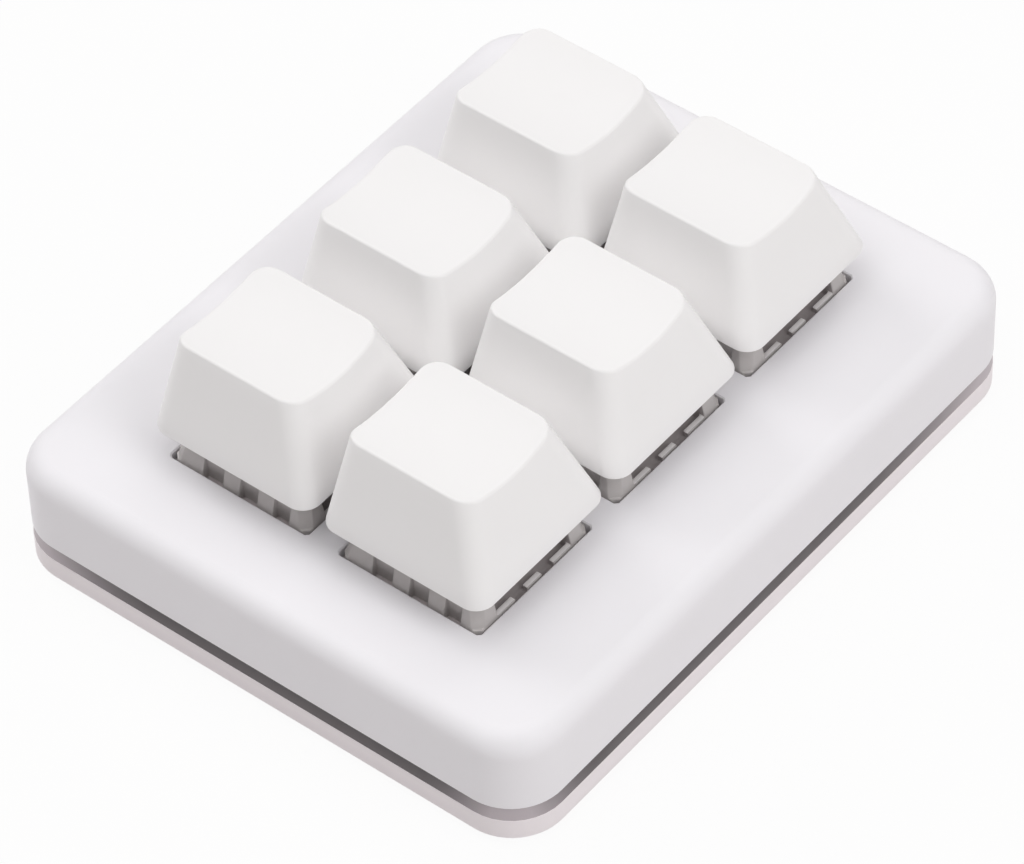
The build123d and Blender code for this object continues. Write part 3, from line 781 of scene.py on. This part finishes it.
def soft_housing(node):
    """A copy of a housing's CAD solid with its hard edges rounded, shown in its place."""
    bm = bmesh.new()
    bm.from_mesh(nodes[node].data)
    bmesh.ops.remove_doubles(bm, verts=bm.verts, dist=WELD_DISTANCE)
    bmesh.ops.dissolve_limit(bm, angle_limit=FLAT_ANGLE, verts=bm.verts, edges=bm.edges)
    hard = [e for e in bm.edges if len(e.link_faces) == 2 and e.calc_face_angle() > HARD_ANGLE]
    bmesh.ops.bevel(
        bm, geom=hard, offset=HOUSING_SOFT_EDGE, segments=HOUSING_EDGE_STEPS, profile=0.5,
        affect="EDGES", clamp_overlap=True,
    )
    return add_piece(f"soft_{node}", bm, "case", "housing_grey", [node])


housings = {node: soft_housing(node) for node in (f"switch_top_{key}" for key in keys)}
print(len(housings), "softened switch housings")

# %% [markdown]
# The lamp slot
#
# At the front of each housing a slot is left for a lamp. The housing is slightly see-through, and the
# dark inside shows through the slot's thin walls and floor. True translucency would depend on parts that
# nobody sees, so the faces of the slot get a darker finish, which is also painted shade in the recess.
# The top of the low ledge in front of it gets a paler finish: painted light, where the ledge catches
# light.

# %% Painted shade in the lamp slot, painted light on its ledge
SLOT_NEAR = 5.8 * MM
SLOT_FAR = 7.4 * MM
SLOT_HALF = 5.2 * MM
LEDGE_LOW = 0.6 * MM
LEDGE_HIGH = 1.2 * MM
UPRIGHT_LIMIT = 0.05
FACING_UP_LIMIT = 0.3
SLOT_PAINTED_SHADE_INDEX = 1
LEDGE_PAINTED_LIGHT_INDEX = 2
# Darker finish: the dark inside seen through thin plastic, and painted shade in the slot.
slot_dark_and_painted_shade = grey_plastic("slot_dark_and_painted_shade_plastic", (0.37, 0.34, 0.34), roughness=0.40, grain=0.25 * MM)
# Paler finish: painted light on the top of the ledge.
ledge_painted_light = grey_plastic("ledge_painted_light_plastic", (0.92, 0.895, 0.890), roughness=0.40, grain=0.25 * MM)


def paint_slot_shade_and_ledge_light(node, piece):
    """Paints shade on the walls and floor of a housing's lamp slot and light on the top of its ledge."""
    low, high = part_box(node)
    middle = (low + high) / 2
    piece.data.materials.append(slot_dark_and_painted_shade)
    piece.data.materials.append(ledge_painted_light)
    count = 0
    for face in piece.data.polygons:
        away = face.center - middle
        height = face.center.z - low.z
        if abs(away.x) > SLOT_HALF or not SLOT_NEAR < -away.y < SLOT_FAR:
            continue
        faces_up = face.normal.z > FACING_UP_LIMIT
        # Painted light on the ledge's top; painted shade on the slot's walls and floor.
        if faces_up and LEDGE_LOW < height < LEDGE_HIGH:
            face.material_index = LEDGE_PAINTED_LIGHT_INDEX
        elif abs(face.normal.z) < UPRIGHT_LIMIT or faces_up and height < LEDGE_LOW:
            face.material_index = SLOT_PAINTED_SHADE_INDEX
        count += face.material_index > 0
    return count


print(sum(paint_slot_shade_and_ledge_light(node, piece) for node, piece in housings.items()), "faces in the lamp slots")

# %% [markdown]
# The band's leaning face
#
# The band sits back under the upper shell, and in the photograph no pale ledge shows below it: its face
# leans out to the rim of the lower shell. The CAD solid is upright, so a ring with a leaning face takes
# its place. Four loops of the case's outline, drawn in by different amounts, are joined by walls.

# %% Leaning band
CASE_CORNER = 5.4 * MM
BAND_THICKNESS = 2.0 * MM
BAND_FOOT_INSET = 0.02 * MM


def leaning_band():
    """The band between the shells, a closed ring whose outer face leans out at its foot."""
    low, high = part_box("seam_band")
    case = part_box("bottom_case")[1]
    recess = case.x - high.x
    inner = recess + BAND_THICKNESS
    bm = bmesh.new()
    loops = []
    for inset, level in ((inner, high.z), (recess, high.z), (BAND_FOOT_INSET, low.z), (inner, low.z)):
        outline = rounded_outline(case.x - inset, inset - case.y, case.y - inset, CASE_CORNER - inset)
        loops.append(add_loop(bm, outline, level)[0])
    for here, there in zip(loops, loops[1:] + loops[:1]):
        add_wall(bm, here, there)
    bmesh.ops.recalc_face_normals(bm, faces=bm.faces)
    return add_piece("leaning_band", bm, "case", "seam_grey", ["seam_band"])


print(len(leaning_band().data.polygons), "faces of band")

# %% [markdown]
# Return springs
#
# Under each stem a coil spring pushes the key up again. The CAD spring has only a few turns and stays at
# its full length, so a pressed stem would cut through it. A finer coil takes its place: a round wire led
# along a helix whose end turns lie close, as on a wound spring. It is a mesh and not a bevelled curve.

# %% Wound wire
SPRING_WIRE = 0.24 * MM
SPRING_OPEN_TURNS = 8
SPRING_CLOSED_TURNS = 1
SPRING_TURNS = SPRING_OPEN_TURNS + 2 * SPRING_CLOSED_TURNS
SPRING_CLOSED_RISE = 1.15 * SPRING_WIRE
SPRING_STEPS = 28
WIRE_SIDES = 8


def spring_rise(turn, height):
    """Height of the wire's middle after a number of turns, slow over the closed turns at both ends."""
    closed = SPRING_CLOSED_TURNS * SPRING_CLOSED_RISE
    if turn <= SPRING_CLOSED_TURNS:
        return turn * SPRING_CLOSED_RISE
    if turn >= SPRING_TURNS - SPRING_CLOSED_TURNS:
        return height - (SPRING_TURNS - turn) * SPRING_CLOSED_RISE
    return closed + (height - 2 * closed) * (turn - SPRING_CLOSED_TURNS) / SPRING_OPEN_TURNS


def wire_rings(radius, height):
    """Rings round the wire, from the lower end of the helix to the upper one."""
    wire = SPRING_WIRE / 2
    sides = [2 * math.pi * k / WIRE_SIDES for k in range(WIRE_SIDES)]
    rings = []
    for step in range(SPRING_STEPS * SPRING_TURNS + 1):
        turn = step / SPRING_STEPS
        angle = 2 * math.pi * turn
        out = Vector((math.cos(angle), math.sin(angle), 0))
        middle = out * radius + Vector((0, 0, wire + spring_rise(turn, height)))
        rings.append([middle + wire * (out * math.cos(s) + Vector((0, 0, math.sin(s)))) for s in sides])
    return rings


print(f"{SPRING_TURNS} turns of {SPRING_WIRE / MM:.2f} mm wire")

# %% [markdown]
# Springs
#
# A spring's lower end stands in the switch and its upper end follows the stem. The coil rides on the
# case, with a mesh of its own.

# %% Six springs
def make_spring(key):
    """One return spring in place of its CAD solid."""
    node = f"switch_spring_{key}"
    low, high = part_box(node)
    length = high.z - low.z
    bm = bmesh.new()
    skin(bm, wire_rings((high.x - low.x - SPRING_WIRE) / 2, length - SPRING_WIRE))
    foot = Vector(((low.x + high.x) / 2, (low.y + high.y) / 2, low.z))
    bmesh.ops.translate(bm, verts=bm.verts, vec=foot)
    bmesh.ops.recalc_face_normals(bm, faces=bm.faces)
    spring = add_piece(f"coil_{key}", bm, "case", "spring_steel", [node])
    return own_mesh(spring)


springs = [make_spring(key) for key in keys]
print(f"{len(springs)} springs of {len(springs[0].data.polygons)} faces")

# %% [markdown]
# Contacts in the port
#
# The port's tongue carries a row of gold-plated strips on each face. They are pressed into the plastic
# and stand out by a hair, so thin boxes sunk into the tongue are enough.

# %% Gold strips on the tongue
STRIP_COUNT = 12
STRIP_PITCH = 0.5 * MM
STRIP_WIDTH = 0.3 * MM
STRIP_LENGTH = 3.2 * MM
STRIP_STAND = 0.02 * MM
STRIP_BACK = 0.4 * MM


def port_strips():
    """Two rows of contact strips, one on each face of the tongue."""
    low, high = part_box("usb_tongue")
    y = high.y - STRIP_BACK - STRIP_LENGTH / 2
    bm = bmesh.new()
    for level in (low.z, high.z):
        for i in range(STRIP_COUNT):
            x = (i - (STRIP_COUNT - 1) / 2) * STRIP_PITCH
            add_box(bm, (x, y, level), (STRIP_WIDTH, STRIP_LENGTH, 2 * STRIP_STAND))
    return add_piece("port_strips", bm, "case", "contact_brass")


print(len(port_strips().data.polygons), "faces of contact strip")

# %% [markdown]
# The sky and the floor
#
# The photograph is a product shot on pure white. To the camera, and in reflections, sky and floor are
# simply white, which the Light Path node can tell apart from the light that they shed. The floor still
# keeps a part of its own shading, so the soft shadow stays.

# %% White to the camera
def seen_directly(tree):
    """A signal of 1 for rays from the camera, from reflections and through clear things."""
    rays = tree.nodes.new("ShaderNodeLightPath").outputs
    seen = joined(tree, "MAXIMUM", rays["Is Camera Ray"], rays["Is Glossy Ray"])
    return joined(tree, "MAXIMUM", seen, rays["Is Transmission Ray"])


def show_as(tree, factor, lit, white, output):
    """Sends a lit shader to the output, or a white one as far as the factor says."""
    mix = tree.nodes.new("ShaderNodeMixShader")
    tree.links.new(factor, mix.inputs["Fac"])
    tree.links.new(lit.outputs[0], mix.inputs[1])
    tree.links.new(white.outputs[0], mix.inputs[2])
    tree.links.new(mix.outputs[0], tree.nodes[output].inputs["Surface"])


print("surroundings can be white to the camera")

# %% Sky
SKY_STRENGTH = 0.225
SKY_TINT = (1.0, 0.975, 0.965, 1)


def make_sky():
    """A plain sky that lights evenly and looks white."""
    world = bpy.data.worlds.new("studio")
    world.use_nodes = True
    tree = world.node_tree
    light = tree.nodes["Background"]
    light.inputs["Color"].default_value = SKY_TINT
    light.inputs["Strength"].default_value = SKY_STRENGTH
    white = tree.nodes.new("ShaderNodeBackground")
    white.inputs["Color"].default_value = (1, 1, 1, 1)
    white.inputs["Strength"].default_value = 1.0
    show_as(tree, seen_directly(tree), light, white, "World Output")
    return world


bpy.context.scene.world = make_sky()
print("sky of strength", SKY_STRENGTH)

# %% Floor
FLOOR_HALF = 1.5
FLOOR_STEPS = 8
FLOOR_COLOUR = (0.83, 0.81, 0.805, 1)
FLOOR_WHITE_SHARE = 0.94


def floor_paper():
    """Pale paper that is nearly white to the camera and keeps a little of its shading."""
    finish, shader = new_finish(
        "floor_paper", Base_Color=FLOOR_COLOUR, Roughness=0.9, Specular_IOR_Level=0.1,
    )
    tree = finish.node_tree
    white = tree.nodes.new("ShaderNodeEmission")
    share = tree.nodes.new("ShaderNodeMath")
    share.operation = "MULTIPLY"
    share.inputs[1].default_value = FLOOR_WHITE_SHARE
    tree.links.new(seen_directly(tree), share.inputs[0])
    show_as(tree, share.outputs[0], shader, white, "Material Output")
    return finish


def make_floor():
    """A wide flat floor under the object."""
    bm = bmesh.new()
    bmesh.ops.create_grid(bm, x_segments=FLOOR_STEPS, y_segments=FLOOR_STEPS, size=FLOOR_HALF)
    floor = add_object("floor", mesh_from("floor", bm))
    floor.data.materials.append(floor_paper())


make_floor()
print(f"floor of {2 * FLOOR_HALF:.0f} by {2 * FLOOR_HALF:.0f} m")

# %% [markdown]
# The lamps
#
# The light is plain and soft: a wide softbox overhead, smaller ones in front and behind, and a little
# light from both sides. The sky only fills what they leave. Their powers were set by comparing faces of
# each direction with the photograph. Each one is given by its place, its size in metres and its watts.

# %% Softboxes
SOFTBOXES = {
    "overhead": ((0.0, 0.05, 0.75), 1.0, 2.3),
    "front": ((0.0, -0.50, 0.50), 0.4, 1.4),
    "back": ((0.0, 0.65, 0.40), 0.4, 1.45),
    "right": ((0.60, 0.10, 0.45), 0.4, 0.42),
    "left": ((-0.40, 0.0, 0.60), 0.4, 0.52),
    "low_front": ((0.15, -0.75, 0.16), 0.4, 0.38),
}


def softbox(name, place, size, power):
    """A square lamp that faces the object."""
    lamp = bpy.data.lights.new(name, "AREA")
    lamp.shape = "SQUARE"
    lamp.size = size
    lamp.energy = power
    box = add_object(name, lamp)
    box.location = place
    box.rotation_euler = Vector(place).to_track_quat("Z", "Y").to_euler()


for name, (place, size, power) in SOFTBOXES.items():
    softbox(name, place, size, power)
print(len(bpy.data.lights), "softboxes")

# %% [markdown]
# The end
#
# The colours are shown as they are, through the Standard view transform.

# %% Finish
bpy.context.scene.view_settings.view_transform = "Standard"
